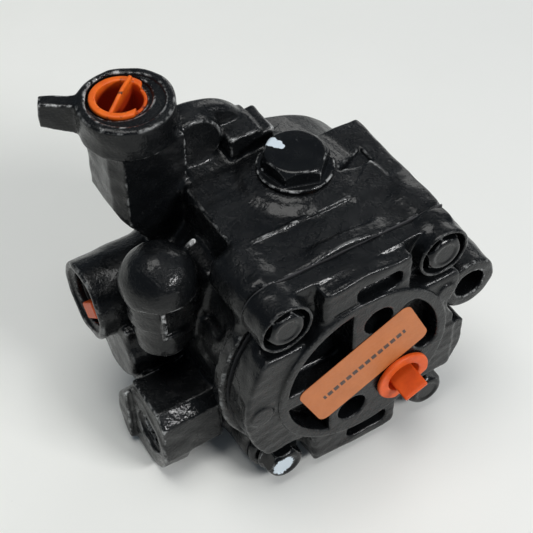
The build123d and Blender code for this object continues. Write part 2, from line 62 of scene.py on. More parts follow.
MM = 0.001
MOUNT_DEPTH = 86.0
COVER_BACK = 14.0
FLANGE_FRONT = 14.6
BOLT_X, BOLT_Z, BOLT_SEAT = 32.0, 39.7, 9.0
BOLTS = [(sx * BOLT_X, sz * BOLT_Z) for sz in (1, -1) for sx in (-1, 1)]
BLOCK_LEFT, BLOCK_RIGHT = -33.0, 39.0
PILOT_R, PILOT_END = 27.0, 103.0
CAVITY_R, CAVITY_END = 34.0, 80.0
BEARING_R, SHAFT_HOLE_R = 23.5, 17.5
PLUG_X, PLUG_DEPTH = 4.0, 54.0
TOWER_X, TOWER_DEPTH, TOWER_TOP = -44.5, 84.0, 84.5
TOWER_R, TOWER_BORE_R, COLLAR_LOW = 17.0, 9.4, 71.4
BORE_X, BORE_DEPTH = -45.4, 87.0  # the tower's bore is off its collar's centre
TAB_ANGLE = 148.0
SIDE_X, SIDE_DEPTH, SIDE_Z, SIDE_R, SIDE_BORE_R = -75.5, 73.0, 9.5, 15.5, 10.6
DOME_X, DOME_DEPTH, DOME_LOW, DOME_Z, DOME_R = -55.5, 48.0, 3.0, 34.0, 14.0
CORE_X, CORE_DEPTH, CORE_Z = -70.5, 36.0, -31.5
LUG_X, LUG_Z, LUG_R, LUG_HOLE_R = 48.5, 11.2, 11.6, 6.3
PORT_X, PORT_Z, PORT_R = 16.8, -15.8, 8.6
SPOOL_BORE_R, CORE_BORE_R = 7.0, 7.3
X, D, Z = 0, 1, 2


# ------------------------------------------------------------------ distance shapes
# A shape is (distance function of x, d, z; lowest corner; highest corner).
def rod(axis, radius, start, end, c1, c2, edge=1.0, end_radius=None):
    """Cylinder or cone along an axis with rounded edges. c1, c2 are on the other two."""
    far_radius = radius if end_radius is None else end_radius
    middle, half = (start + end) / 2, abs(end - start) / 2
    others = [a for a in (X, D, Z) if a != axis]

    def distance(*p):
        along = p[axis] - middle
        size = radius + (far_radius - radius) * np.clip((p[axis] - start) / (end - start), 0, 1)
        out = np.hypot(p[others[0]] - c1, p[others[1]] - c2) - size + edge
        cap = np.abs(along) - half + edge
        return (np.minimum(np.maximum(out, cap), 0)
                + np.hypot(np.maximum(out, 0), np.maximum(cap, 0)) - edge)

    low, high = [0, 0, 0], [0, 0, 0]
    wide = max(radius, far_radius)
    low[axis], high[axis] = min(start, end), max(start, end)
    for a, c in zip(others, (c1, c2)):
        low[a], high[a] = c - wide, c + wide
    return distance, low, high


def box(x0, x1, d0, d1, z0, z1, edge=1.0):
    """Box with rounded edges."""
    low, high = (x0, d0, z0), (x1, d1, z1)

    def distance(*p):
        q = [np.abs(p[a] - (low[a] + high[a]) / 2) - (high[a] - low[a]) / 2 + edge
             for a in (X, D, Z)]
        inner = np.minimum(np.maximum(q[0], np.maximum(q[1], q[2])), 0)
        outer = np.sqrt(np.maximum(q[0], 0) ** 2 + np.maximum(q[1], 0) ** 2
                        + np.maximum(q[2], 0) ** 2)
        return inner + outer - edge

    return distance, low, high


def ball(radius, x, d, z):
    """Sphere."""
    def distance(*p):
        return np.sqrt((p[0] - x) ** 2 + (p[1] - d) ** 2 + (p[2] - z) ** 2) - radius

    return distance, (x - radius, d - radius, z - radius), (x + radius, d + radius, z + radius)


def bead(start, end, radius):
    """Round-ended bar between two points."""
    a, b = np.array(start, float), np.array(end, float)
    run = b - a

    def distance(*p):
        t = sum((p[i] - a[i]) * run[i] for i in range(3)) / float(run @ run)
        t = np.clip(t, 0, 1)
        return np.sqrt(sum((p[i] - a[i] - run[i] * t) ** 2 for i in range(3))) - radius

    return distance, np.minimum(a, b) - radius, np.maximum(a, b) + radius


def outline_distance(points, u, v):
    """Signed distance to a closed polygon in two coordinates."""
    u, v = np.broadcast_arrays(u, v)
    nearest = np.full(u.shape, 1e9, np.float32)
    inside = np.zeros(u.shape, bool)
    for (u0, v0), (u1, v1) in zip(points, points[1:] + points[:1]):
        eu, ev = u1 - u0, v1 - v0
        t = np.clip(((u - u0) * eu + (v - v0) * ev) / (eu * eu + ev * ev), 0, 1)
        nearest = np.minimum(nearest, (u - u0 - eu * t) ** 2 + (v - v0 - ev * t) ** 2)
        if v0 != v1:
            crossing = (v0 > v) != (v1 > v)
            inside ^= crossing & (u < (u1 - u0) * (v - v0) / (v1 - v0) + u0)
    return np.where(inside, -1, 1) * np.sqrt(nearest)


def prism(axis, points, start, end, edge=1.0):
    """Polygon in the other two coordinates, extruded along an axis, edges rounded."""
    others = [a for a in (X, D, Z) if a != axis]
    middle, half = (start + end) / 2, abs(end - start) / 2

    def distance(*p):
        out = outline_distance(points, p[others[0]], p[others[1]]) + edge
        cap = np.abs(p[axis] - middle) - half + edge
        return (np.minimum(np.maximum(out, cap), 0)
                + np.hypot(np.maximum(out, 0), np.maximum(cap, 0)) - edge)

    low, high = [0, 0, 0], [0, 0, 0]
    low[axis], high[axis] = min(start, end), max(start, end)
    for a, values in zip(others, zip(*points)):
        low[a], high[a] = min(values), max(values)
    return distance, low, high


def turned(shape, axis, degrees, centre):
    """A shape turned about an axis through a centre."""
    distance, low, high = shape
    a = math.radians(degrees)
    i, j = [n for n in (X, D, Z) if n != axis]
    c, s = math.cos(a), math.sin(a)

    def turned_distance(*p):
        q = list(p)
        u, v = p[i] - centre[i], p[j] - centre[j]
        q[i], q[j] = centre[i] + c * u + s * v, centre[j] - s * u + c * v
        return distance(*q)

    corners = np.array([[(low, high)[k >> n & 1][n] for n in range(3)] for k in range(8)])
    u, v = corners[:, i] - centre[i], corners[:, j] - centre[j]
    corners[:, i], corners[:, j] = centre[i] + c * u - s * v, centre[j] + s * u + c * v
    return turned_distance, corners.min(0), corners.max(0)


def both(a, b):
    """What two shapes share."""
    def distance(*p):
        return np.maximum(a[0](*p), b[0](*p))

    return distance, np.maximum(a[1], b[1]), np.minimum(a[2], b[2])


# ---------------------------------------------------------------------- the field
class Field:
    """Signed distances on a grid. Shapes are blended in and cut out, then meshed."""

    FAR = 8.0  # the value far from any shape
    ROUNDS = 4  # of smoothing, each followed by a return to the surface

    def __init__(self, low, high, step):
        self.step = step
        self.axes = [np.arange(a - 2 * step, b + 3 * step, step, dtype=np.float32)
                     for a, b in zip(low, high)]
        self.value = np.full([len(a) for a in self.axes], self.FAR, np.float32)

    def window(self, low, high, margin):
        """Slices of the grid around a shape, and its coordinates there."""
        cut, grids = [], []
        for a in (X, D, Z):
            first = int(np.searchsorted(self.axes[a], low[a] - margin))
            last = int(np.searchsorted(self.axes[a], high[a] + margin))
            cut.append(slice(first, max(last, first)))
            shape = [1, 1, 1]
            shape[a] = -1
            grids.append(self.axes[a][cut[a]].reshape(shape))
        return tuple(cut), grids

    def add(self, shape, soft=0.4):
        """Joins a shape on, with a fillet about as wide as soft."""
        self._mix(shape, soft, 1)

    def cut(self, shape, soft=0.4):
        """Takes a shape away, with its edge softened."""
        self._mix(shape, soft, -1)

    def _mix(self, shape, soft, sign):
        distance, low, high = shape
        cut, grids = self.window(low, high, soft + 2 * self.step)
        if any(c.start == c.stop for c in cut):
            return
        old = self.value[cut] * sign
        new = distance(*grids).astype(np.float32)
        h = np.clip(0.5 + 0.5 * (old - new) / soft, 0, 1)
        self.value[cut] = sign * (old * (1 - h) + new * h - soft * h * (1 - h))

    def roughen(self, height, waves, seed):
        """Adds the slow waviness of a sand casting, from random plane waves."""
        pick = np.random.default_rng(seed)
        cut, (x, d, z) = self.window(
            [a[0] for a in self.axes], [a[-1] for a in self.axes], 0)
        for length in waves:
            k = pick.normal(size=3)
            k *= 2 * math.pi / length / np.linalg.norm(k)
            turn = pick.uniform(0, 2 * math.pi)
            self.value[cut] += (height / len(waves)) * np.sin(
                k[0] * x + k[1] * d + k[2] * z + turn).astype(np.float32)

    def sample(self, points):
        """Value and gradient at points given in grid units, trilinear."""
        v = self.value
        base = np.clip(np.floor(points).astype(int), 0, np.array(v.shape) - 2)
        f = (points - base).astype(np.float32)
        i, j, k = base.T
        fx, fy, fz = f.T
        c = {(a, b, e): v[i + a, j + b, k + e]
             for a in (0, 1) for b in (0, 1) for e in (0, 1)}
        x0 = {(b, e): c[0, b, e] * (1 - fx) + c[1, b, e] * fx for b in (0, 1) for e in (0, 1)}
        y0 = {e: x0[0, e] * (1 - fy) + x0[1, e] * fy for e in (0, 1)}
        value = y0[0] * (1 - fz) + y0[1] * fz
        gz = y0[1] - y0[0]
        gy = (x0[1, 0] - x0[0, 0]) * (1 - fz) + (x0[1, 1] - x0[0, 1]) * fz
        dx = {(b, e): c[1, b, e] - c[0, b, e] for b in (0, 1) for e in (0, 1)}
        gx = ((dx[0, 0] * (1 - fy) + dx[1, 0] * fy) * (1 - fz)
              + (dx[0, 1] * (1 - fy) + dx[1, 1] * fy) * fz)
        return value, np.stack([gx, gy, gz], 1)

    def surface(self):
        """Vertices in mm and quads of the zero surface, by naive surface nets."""
        v = self.value
        inside = v < 0
        n = [s - 1 for s in v.shape]
        count = np.zeros(n, np.int8)
        for a in (0, 1):
            for b in (0, 1):
                for e in (0, 1):
                    count += inside[a:a + n[0], b:b + n[1], e:e + n[2]]
        active = (count > 0) & (count < 8)
        cells = np.argwhere(active)
        index = np.full(n, -1, np.int32)
        index[active] = np.arange(len(cells))
        total = np.zeros((len(cells), 3), np.float32)
        hits = np.zeros(len(cells), np.float32)
        for axis in (X, D, Z):
            i, j = [m for m in (X, D, Z) if m != axis]
            for a in (0, 1):
                for b in (0, 1):
                    start = cells.copy()
                    start[:, i] += a
                    start[:, j] += b
                    end = start.copy()
                    end[:, axis] += 1
                    va, vb = v[tuple(start.T)], v[tuple(end.T)]
                    crosses = (va < 0) != (vb < 0)
                    t = np.where(crosses, va / np.where(crosses, va - vb, 1), 0)
                    point = start.astype(np.float32)
                    point[:, axis] += t
                    total += point * crosses[:, None]
                    hits += crosses
        points = total / hits[:, None]
        quads = []
        for axis in (X, D, Z):
            i, j = [m for m in (X, D, Z) if m != axis]
            near = [slice(None)] * 3
            far = [slice(None)] * 3
            near[axis], far[axis] = slice(0, -1), slice(1, None)
            change = inside[tuple(near)] != inside[tuple(far)]
            edges = np.argwhere(change)
            keep = ((edges[:, i] > 0) & (edges[:, j] > 0)
                    & (edges[:, i] < n[i]) & (edges[:, j] < n[j]))
            edges = edges[keep]
            corner = []
            for a, b in ((1, 1), (0, 1), (0, 0), (1, 0)):
                cell = edges.copy()
                cell[:, i] -= a
                cell[:, j] -= b
                corner.append(index[tuple(cell.T)])
            quad = np.stack(corner, 1)
            flip = inside[tuple(edges.T)] != (axis == D)
            quad[~flip] = quad[~flip][:, ::-1]
            quads.append(quad)
        quads = np.concatenate(quads)
        pairs = np.concatenate([quads[:, [0, 1]], quads[:, [1, 2]],
                                quads[:, [2, 3]], quads[:, [3, 0]]])
        for _ in range(self.ROUNDS):
            near = np.zeros_like(points)
            number = np.zeros(len(points), np.float32)
            np.add.at(near, pairs[:, 0], points[pairs[:, 1]])
            np.add.at(number, pairs[:, 0], 1)
            points = 0.4 * points + 0.6 * near / number[:, None]
            for _ in range(2):
                value, slope = self.sample(points)
                size = np.maximum((slope ** 2).sum(1), 1e-6)
                move = slope * (value / size)[:, None]
                points = points - np.clip(move, -0.5, 0.5)
        origin = np.array([a[0] for a in self.axes])
        return points * self.step + origin, quads


def mesh_object(name, points, faces, material, body, node, slot):
    """Object from points in (x, depth, z) mm, riding on a body and replacing nodes."""
    data = bpy.data.meshes.new(name)
    place = (np.asarray(points, float) - (0, MOUNT_DEPTH, 0)) * MM
    faces = np.asarray(faces, np.int32)
    data.vertices.add(len(place))
    data.vertices.foreach_set("co", place.astype(np.float32).ravel())
    width = faces.shape[1]
    data.loops.add(faces.size)
    data.loops.foreach_set("vertex_index", faces.ravel())
    data.polygons.add(len(faces))
    data.polygons.foreach_set("loop_start", np.arange(0, faces.size, width, dtype=np.int32))
    data.update(calc_edges=True)
    data.validate()
    data.shade_smooth()
    piece = bpy.data.objects.new(name, data)
    bpy.context.scene.collection.objects.link(piece)
    data.materials.append(material)
    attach(piece, body)
    if node:
        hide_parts(*node)


# --------------------------------------------------------------------- materials
def new_material(name):
    """Empty node material with its shader: (material, node tree, shader)."""
    material = bpy.data.materials.new(name)
    material.use_nodes = True
    tree = material.node_tree
    return material, tree, tree.nodes["Principled BSDF"]


def noise(tree, scale, detail=3.0, rough=0.55, vector=None):
    """Noise texture in object coordinates. scale is features per metre."""
    node = tree.nodes.new("ShaderNodeTexNoise")
    node.inputs["Scale"].default_value = scale
    node.inputs["Detail"].default_value = detail
    node.inputs["Roughness"].default_value = rough
    if vector is None:
        vector = object_coordinates(tree)
    tree.links.new(vector, node.inputs["Vector"])
    return node.outputs["Fac"]


def object_coordinates(tree):
    """The tree's object coordinate socket."""
    for node in tree.nodes:
        if node.bl_idname == "ShaderNodeTexCoord":
            return node.outputs["Object"]
    return tree.nodes.new("ShaderNodeTexCoord").outputs["Object"]


def ramp(tree, value, stops):
    """Colour ramp. stops are (position, grey level or RGB)."""
    node = tree.nodes.new("ShaderNodeValToRGB")
    points = node.color_ramp.elements
    while len(points) < len(stops):
        points.new(0.5)
    for point, (position, colour) in zip(points, stops):
        point.position = position
        rgb = colour if isinstance(colour, tuple) else (colour,) * 3
        point.color = (*rgb, 1)
    tree.links.new(value, node.inputs["Fac"])
    return node.outputs["Color"]


def maths(tree, operation, a, b=None, clamp=False):
    """Math node; a and b are sockets or numbers."""
    node = tree.nodes.new("ShaderNodeMath")
    node.operation = operation
    node.use_clamp = clamp
    for socket, value in zip(node.inputs, (a, b)):
        if value is None:
            continue
        if isinstance(value, (int, float)):
            socket.default_value = value
        else:
            tree.links.new(value, socket)
    return node.outputs[0]


def mix(tree, factor, a, b):
    """Colour mix; a and b are sockets or RGB."""
    node = tree.nodes.new("ShaderNodeMix")
    node.data_type = "RGBA"
    tree.links.new(factor, node.inputs["Factor"])
    for socket, value in ((node.inputs[6], a), (node.inputs[7], b)):
        if isinstance(value, tuple):
            socket.default_value = (*value, 1)
        else:
            tree.links.new(value, socket)
    return node.outputs[2]


def bump(tree, height, distance, strength=1.0, below=None):
    """Bump node. distance is in metres; below is the normal it adds to."""
    node = tree.nodes.new("ShaderNodeBump")
    node.inputs["Strength"].default_value = strength
    node.inputs["Distance"].default_value = distance
    tree.links.new(height, node.inputs["Height"])
    if below is not None:
        tree.links.new(below, node.inputs["Normal"])
    return node.outputs["Normal"]


def near_spot(tree, centre, radius, ragged=0.35):
    """1 inside a ragged spot around a point in (x, depth, z) mm, 0 outside."""
    gap = tree.nodes.new("ShaderNodeVectorMath")
    gap.operation = "DISTANCE"
    tree.links.new(object_coordinates(tree), gap.inputs[0])
    gap.inputs[1].default_value = (
        centre[0] * MM, (centre[1] - MOUNT_DEPTH) * MM, centre[2] * MM)
    share = maths(tree, "DIVIDE", gap.outputs["Value"], radius * MM)
    wobble = maths(tree, "MULTIPLY", noise(tree, 900.0, 4.0, 0.65), 2 * ragged)
    edge = maths(tree, "ADD", share, maths(tree, "SUBTRACT", wobble, ragged))
    return maths(tree, "MULTIPLY", maths(tree, "SUBTRACT", 1.0, edge), 12.0, clamp=True)


def enamel(name, grain=1.0, gloss=0.2, painted_glint=0.85, dabs=()):
    """Thick black enamel brushed over a casting, with broken glints along its edges painted into
    its colour as pale highlights.

    dabs are ragged pale paint spots.
    """
    material, tree, shader = new_material(name)
    tone = noise(tree, 60.0, 4.0, 0.6)
    colour = ramp(tree, tone, [(0.3, (0.0022, 0.0026, 0.0032)), (0.7, (0.007, 0.0078, 0.0085))])
    dust = noise(tree, 520.0, 6.0, 0.7)
    specks = ramp(tree, dust, [(0.64, 0.0), (0.74, 1.0)])
    colour = mix(tree, specks, colour, (0.03, 0.032, 0.033))
    # Painted highlights: sharp convex edges, broken up by noise, are mixed towards near white in
    # place of glints of light.
    sharp = tree.nodes.new("ShaderNodeNewGeometry").outputs["Pointiness"]
    broken = ramp(tree, noise(tree, 330.0, 4.0, 0.7), [(0.47, 0.0), (0.60, painted_glint)])
    edge = maths(tree, "MULTIPLY", ramp(tree, sharp, [(0.52, 0.0), (0.57, 1.0)]), broken)
    colour = mix(tree, edge, colour, (0.85, 0.86, 0.85))
    rough = ramp(tree, noise(tree, 150.0, 4.0, 0.6), [(0.35, gloss), (0.7, gloss + 0.16)])
    pale = None
    for centre, radius in dabs:
        spot = near_spot(tree, centre, radius)
        pale = spot if pale is None else maths(tree, "MAXIMUM", pale, spot)
    if pale is not None:
        colour = mix(tree, pale, colour, (0.62, 0.7, 0.76))
        rough = mix(tree, pale, rough, (0.55, 0.55, 0.55))
    tree.links.new(colour, shader.inputs["Base Color"])
    tree.links.new(rough, shader.inputs["Roughness"])
    shader.inputs["Specular IOR Level"].default_value = 0.14
    shader.inputs["Coat Weight"].default_value = 0.36
    shader.inputs["Coat Roughness"].default_value = 0.05
    shader.inputs["Coat IOR"].default_value = 1.45
    lumps = bump(tree, noise(tree, 230.0, 2.0, 0.5), 0.0011, 0.5 * grain)
    pits = bump(tree, noise(tree, 1150.0, 3.0, 0.62), 0.00042, 0.75 * grain, lumps)
    tree.links.new(pits, shader.inputs["Normal"])
    soft = bump(tree, noise(tree, 260.0, 3.0, 0.6), 0.001, 0.42 * grain)
    tree.links.new(soft, shader.inputs["Coat Normal"])
    return material


def moulded(name, base, dark, smudge=0.0, shade_below=None, lit=None):
    """Soft moulded plastic with faint flow marks, and black smudges on demand.

    Below the given height it turns a darker red: painted shade down inside a cup. Away from the
    spot lit it darkens almost to black: painted shade inside a port, with grime.
    """
    material, tree, shader = new_material(name)
    colour = ramp(tree, noise(tree, 180.0, 4.0, 0.6), [(0.3, dark), (0.7, base)])
    if smudge:
        marks = ramp(tree, noise(tree, 260.0, 5.0, 0.7), [(0.62 - 0.1 * smudge, 0.0),
                                                          (0.74 - 0.1 * smudge, 1.0)])
        colour = mix(tree, marks, colour, (0.02, 0.018, 0.016))
    # Painted shade: below the given height the colour is mixed towards a darker red, as shade
    # falls down inside a cup.
    if shade_below is not None:
        place = tree.nodes.new("ShaderNodeSeparateXYZ")
        tree.links.new(object_coordinates(tree), place.inputs[0])
        cup_shade = maths(tree, "DIVIDE", maths(tree, "SUBTRACT", shade_below * MM, place.outputs["Z"]),
                     3.0 * MM, clamp=True)
        colour = mix(tree, cup_shade, colour, (0.36, 0.028, 0.004))
    # Painted shade, with grime: away from the lit spot the colour is mixed almost to black.
    if lit is not None:
        colour = mix(tree, near_spot(tree, *lit, 0.1), (0.012, 0.011, 0.01), colour)
    tree.links.new(colour, shader.inputs["Base Color"])
    rough = ramp(tree, noise(tree, 500.0, 3.0), [(0.3, 0.36), (0.7, 0.5)])
    tree.links.new(rough, shader.inputs["Roughness"])
    shader.inputs["Specular IOR Level"].default_value = 0.3
    shader.inputs["Subsurface Weight"].default_value = 0.08
    shader.inputs["Subsurface Scale"].default_value = 0.002
    tree.links.new(bump(tree, noise(tree, 1200.0, 3.0), 0.0001, 0.3), shader.inputs["Normal"])
    return material


def metal(name, base, rough_low, rough_high):
    """Machined or drawn metal with fine streaks that run round the shaft axis."""
    material, tree, shader = new_material(name)
    stretch = tree.nodes.new("ShaderNodeMapping")
    stretch.inputs["Scale"].default_value = (1.0, 12.0, 1.0)
    tree.links.new(object_coordinates(tree), stretch.inputs["Vector"])
    lines = noise(tree, 350.0, 5.0, 0.6, stretch.outputs["Vector"])
    dark = tuple(0.62 * c for c in base)
    tree.links.new(ramp(tree, lines, [(0.3, dark), (0.7, base)]), shader.inputs["Base Color"])
    tree.links.new(ramp(tree, lines, [(0.3, rough_low), (0.7, rough_high)]),
                   shader.inputs["Roughness"])
    shader.inputs["Metallic"].default_value = 1.0
    tree.links.new(bump(tree, lines, 0.00006, 0.4), shader.inputs["Normal"])
    return material


def rubber(name, base):
    """Dull moulded rubber or fibre."""
    material, tree, shader = new_material(name)
    light = tuple(1.6 * c for c in base)
    tree.links.new(ramp(tree, noise(tree, 300.0, 5.0, 0.65), [(0.3, base), (0.7, light)]),
                   shader.inputs["Base Color"])
    tree.links.new(ramp(tree, noise(tree, 900.0), [(0.3, 0.5), (0.7, 0.75)]),
                   shader.inputs["Roughness"])
    tree.links.new(bump(tree, noise(tree, 1500.0), 0.00008, 0.5), shader.inputs["Normal"])
    return material


CASTING = enamel("black_enamel_casting", grain=1.0, dabs=[((-30.0, 4.0, 31.0), 2.6)])
COVER_PAINT = enamel("black_enamel_cover", grain=0.75, painted_glint=0.1)
LOW_SCREW_DAB = ((-BOLT_X - 1.5, 1.0, -BOLT_Z + 0.6), 4.6)
PLUG_DABS = [((-0.9, 62.6, 60.5), 2.5), ((0.3, 60.2, 60.5), 2.1), ((1.0, 58.4, 60.5), 1.3)]
HEAD_PAINT = enamel("black_enamel_heads", grain=0.35, gloss=0.16, painted_glint=0.7,
                    dabs=[LOW_SCREW_DAB, *PLUG_DABS])
ORANGE = moulded("orange_plastic", (0.78, 0.115, 0.014), (0.6, 0.075, 0.009))
# Smudged plastic, with painted shade in the tower cap's cup below its rim.
ORANGE_SMUDGED_SHADED = moulded("orange_plastic_smudged_and_shaded", (0.86, 0.16, 0.012), (0.62, 0.09, 0.008), 0.6,
                       shade_below=TOWER_TOP - 1.2)
# Painted shade, with grime: away from the grip bar the side cap is painted almost black.
ORANGE_INSIDE = moulded("orange_plastic_shaded_and_grimy", (0.74, 0.105, 0.008), (0.6, 0.075, 0.006),
                        lit=((-73.0, SIDE_DEPTH - 3.0, SIDE_Z - 3.0), 8.4))
GROUND = metal("ground_steel_surface", (0.6, 0.61, 0.62), 0.16, 0.3)
PLAIN = metal("plain_steel_surface", (0.38, 0.38, 0.4), 0.28, 0.46)
SPRING = metal("spring_wire", (0.26, 0.26, 0.28), 0.3, 0.45)
BRONZE = metal("bearing_bronze", (0.62, 0.41, 0.2), 0.24, 0.4)
COPPER = metal("soft_copper_washer", (0.6, 0.3, 0.18), 0.3, 0.5)
NITRILE = rubber("nitrile", (0.012, 0.012, 0.013))
FIBRE = rubber("gasket_fibre", (0.02, 0.02, 0.022))


# ------------------------------------------------------------------ cast housing
def cast_body(f):
    """Drum, flanges and top block of the housing."""
    f.add(rod(D, 46, 18, 74, 0, 0, 1))
    f.add(rod(D, 51.4, FLANGE_FRONT, 20.5, 0, 0, 1.3), 2)
    f.add(rod(D, 50, 71, MOUNT_DEPTH, 0, 0, 1.6), 3)
    for x, z in BOLTS:
        f.add(rod(D, 10.6, FLANGE_FRONT, 37, x, z, 3.5), 5)
    f.add(box(BLOCK_LEFT, BLOCK_RIGHT, FLANGE_FRONT, 67, 2, 49.2, 1.0), 2)
    f.add(box(BLOCK_LEFT, 12, 33.5, 67, 30, 49.9, 1.0), 0.8)
    f.add(box(BLOCK_LEFT, -2, 58, 80, 0, 48.8, 2.0), 2)
    f.add(box(14, 30, 31, 45, 44, 50, 0.8), 0.8)
    ridges = [((-31.5, 33.4, 49.7), (12.6, 33.8, 49.7), 0.75),
              ((13.5, 33.5, 49.6), (29.5, 44.5, 49.7), 0.75),
              ((29.7, 44.5, 49.7), (31.0, 31.5, 49.5), 0.75),
              ((-32.2, 33.5, 49.0), (-32.2, 50.0, 49.2), 0.7)]
    for start, end, radius in ridges:
        f.add(bead(start, end, radius), 0.5)
    f.add(rod(D, 22.4, 78.6, MOUNT_DEPTH, -21, 49.0, 2.5), 3)
    f.add(rod(D, 11.0, 74.5, MOUNT_DEPTH, -24.5, 60.5, 1.5), 2.5)
    slope = [(60, 44), (60, 48.4), (68, 49.4), (79, 53.0), (79, 44)]
    f.add(prism(X, slope, -32, -10, 1.0), 3)
    f.add(box(-12.8, 0.5, 70, MOUNT_DEPTH, 40, 60.4, 1.3), 2)
    f.add(box(-1, 5.4, 70, MOUNT_DEPTH - 1, 40, 58.4, 1.2), 0.8)
    f.add(rod(Z, 18.5, 40, 50.6, PLUG_X, PLUG_DEPTH, 1.5), 5)
    f.add(rod(Z, 15.4, 44, 52, PLUG_X, PLUG_DEPTH, 0.8), 2)


def manifold(f):
    """Side manifold with the bosses that face -X."""
    f.add(box(-46, -25, 28, 54, -41, 1, 6), 6)
    shelf = [(50.5, -41), (50.5, -4), (53.5, -1), (79, -1), (79, -41)]
    f.add(prism(X, shelf, -61.5, -25, 1.0), 2)
    f.add(box(-50, -25, 60, 82, -4, 23, 5), 5)
    f.add(rod(X, SIDE_R, SIDE_X + 0.45, -30, SIDE_DEPTH, SIDE_Z, 1.4), 3)
    f.add(rod(X, 15, -68, -30, 66, -11, 2), 2.5)
    f.add(rod(X, 16, -65.3, -30, 42, -30, 1.6), 2)
    f.add(rod(X, 16.8, -73.6, -60, 40.5, -34.4, 1.2), 1.5)
    f.cut(box(-78, CORE_X - 0.5, 18, 48.2, -55, -8, 0.5), 0.8)
    f.add(box(-67.5, -57, 54.5, 62, -4, 5, 1.0), 2)
    boss = [(24, -36.5), (30, -42.5), (44, -42.5), (48, -39), (48, -13.4), (29, -13.2),
            (24.2, -18.2)]
    f.add(prism(X, boss, CORE_X, -46, 1.0), 1.5)
    f.add(rod(Z, 10.2, DOME_LOW, 22, DOME_X, DOME_DEPTH, 1.5), 1.5)
    f.add(rod(Z, 12.2, 18, DOME_Z, DOME_X, DOME_DEPTH, 1.5), 1.0)
    f.add(both(ball(DOME_R, DOME_X, DOME_DEPTH, DOME_Z),
               box(-80, -30, 20, 70, 31.5, 60, 0.6)), 0.8)
    f.add(box(-50, -30, 42, 60, DOME_LOW + 1, 32, 2), 5)
    f.cut(box(-59.6, -41, 28, 39.8, 14, 30.5, 1.2), 1.6)
    f.add(bead((-60.6, 35.6, 18), (-60.6, 35.6, 31), 1.0), 0.8)
    f.add(bead((-66, 50, 30), (-40, 50, 43), 1.0), 2.0)


def tower(f):
    """Upright port: round collar, square barrel and a web across to the block."""
    plan = [(-57, 76.5), (-57, 94), (-52, 100), (-39, 100), (-33, 92), (-30, 85.5),
            (-30, 70.8), (-53.6, 70.8)]
    low = [(-80, 80), (-80, 50), (-57.2, 44.5), (-55.5, 40), (-51, 35.5), (0, 35.5), (0, 80)]
    f.add(both(prism(Z, plan, 35.5, COLLAR_LOW + 1, 0.9), prism(D, low, 60, 110, 2)), 2.5)
    web = [(-53, 40), (-49.5, 31), (-44, 24.5), (-38, 18), (-31, 12), (-20, 12), (-20, 48),
           (-31, 50)]
    f.add(prism(D, web, 70.8, 85, 2), 3)
    f.add(rod(Z, TOWER_R, COLLAR_LOW, TOWER_TOP, TOWER_X, TOWER_DEPTH, 1.3), 1.6)
    f.add(turned(tab_block(), Z, TAB_ANGLE, (TOWER_X, TOWER_DEPTH, 0)), 1.5)


def tab_block():
    """The flat tab and its tapering flanks, along +X from the tower's axis."""
    cx, cd, top = TOWER_X, TOWER_DEPTH, TOWER_TOP
    side = [(cx, top - 0.4), (cx + 29.8, top - 0.4), (cx + 30.4, 73.4), (cx + 16, COLLAR_LOW),
            (cx, COLLAR_LOW)]
    plate = prism(D, side, cd - 15, cd + 15, 1.0)
    plan = [(cx, cd - 16), (cx + 7, cd - 14.6), (cx + 17, cd - 3.2), (cx + 30.2, cd - 2.4),
            (cx + 30.2, cd + 2.4), (cx + 17, cd + 3.2), (cx + 7, cd + 14.6), (cx, cd + 16)]
    return both(plate, prism(Z, plan, 60, top, 1.0))


def lug(f):
    """Mounting lug beside the cover."""
    f.add(box(34, 50, 16, 24, 0, 22, 2), 4)
    f.add(rod(D, LUG_R - 0.3, 4.2, 24, LUG_X, LUG_Z, 1.3), 2)


def machined(f):
    """Bores, seats and passages, with crisp edges."""
    f.cut(rod(D, CAVITY_R, 8, CAVITY_END, 0, 0, 0.5))
    f.cut(rod(D, BEARING_R, CAVITY_END - 2, 94, 0, 0, 0.3))
    f.cut(rod(D, SHAFT_HOLE_R, 92, 110, 0, 0, 0.3))
    for x, z in BOLTS:
        f.cut(rod(D, 4.1, 8, 33, x, z, 0.2))
    f.cut(rod(Z, TOWER_BORE_R, 38.8, 100, BORE_X, BORE_DEPTH, 1))
    f.cut(rod(Z, 11.4, TOWER_TOP - 2.4, 100, BORE_X, BORE_DEPTH, 0.3))
    f.cut(rod(Z, 13.6, TOWER_TOP - 1, 100, TOWER_X, TOWER_DEPTH, 0.3))
    f.cut(rod(X, SIDE_BORE_R, -90, -58, SIDE_DEPTH, SIDE_Z, 1))
    f.cut(rod(X, 12.6, -90, SIDE_X + 2.0, SIDE_DEPTH, SIDE_Z, 0.3), 1.2)
    f.cut(rod(X, CORE_BORE_R, -90, -61, CORE_DEPTH, CORE_Z, 1))
    f.cut(rod(X, 8.6, -90, CORE_X + 1.0, CORE_DEPTH, CORE_Z, 0.3), 0.6)
    f.cut(rod(Z, SPOOL_BORE_R, -5, 40, DOME_X, DOME_DEPTH, 1))
    f.cut(rod(D, LUG_HOLE_R, 0, 40, LUG_X, LUG_Z, 0.5), 0.8)
    f.cut(rod(D, 10, 24, 45, LUG_X, LUG_Z, 0.5), 0.8)
    f.cut(rod(Z, 9.1, 43, 60, PLUG_X, PLUG_DEPTH, 0.5))
    f.cut(rod(Z, 5, 38, 46, PLUG_X, PLUG_DEPTH, 0.3))


def build_housing(step):
    """The painted iron casting."""
    f = Field((-79, 2, -51), (62, 105, 86), step)
    cast_body(f)
    manifold(f)
    tower(f)
    lug(f)
    f.roughen(0.5, (31, 23, 17, 13, 11, 9, 8, 7), 5)
    f.add(rod(D, PILOT_R, MOUNT_DEPTH - 2, PILOT_END, 0, 0, 0.8), 0.6)
    machined(f)
    notch = [(17, 45.5), (31, 45.5), (31, 53)]
    f.cut(prism(Z, notch, 47.6, 56, 0.5), 1.2)
    return f.surface()


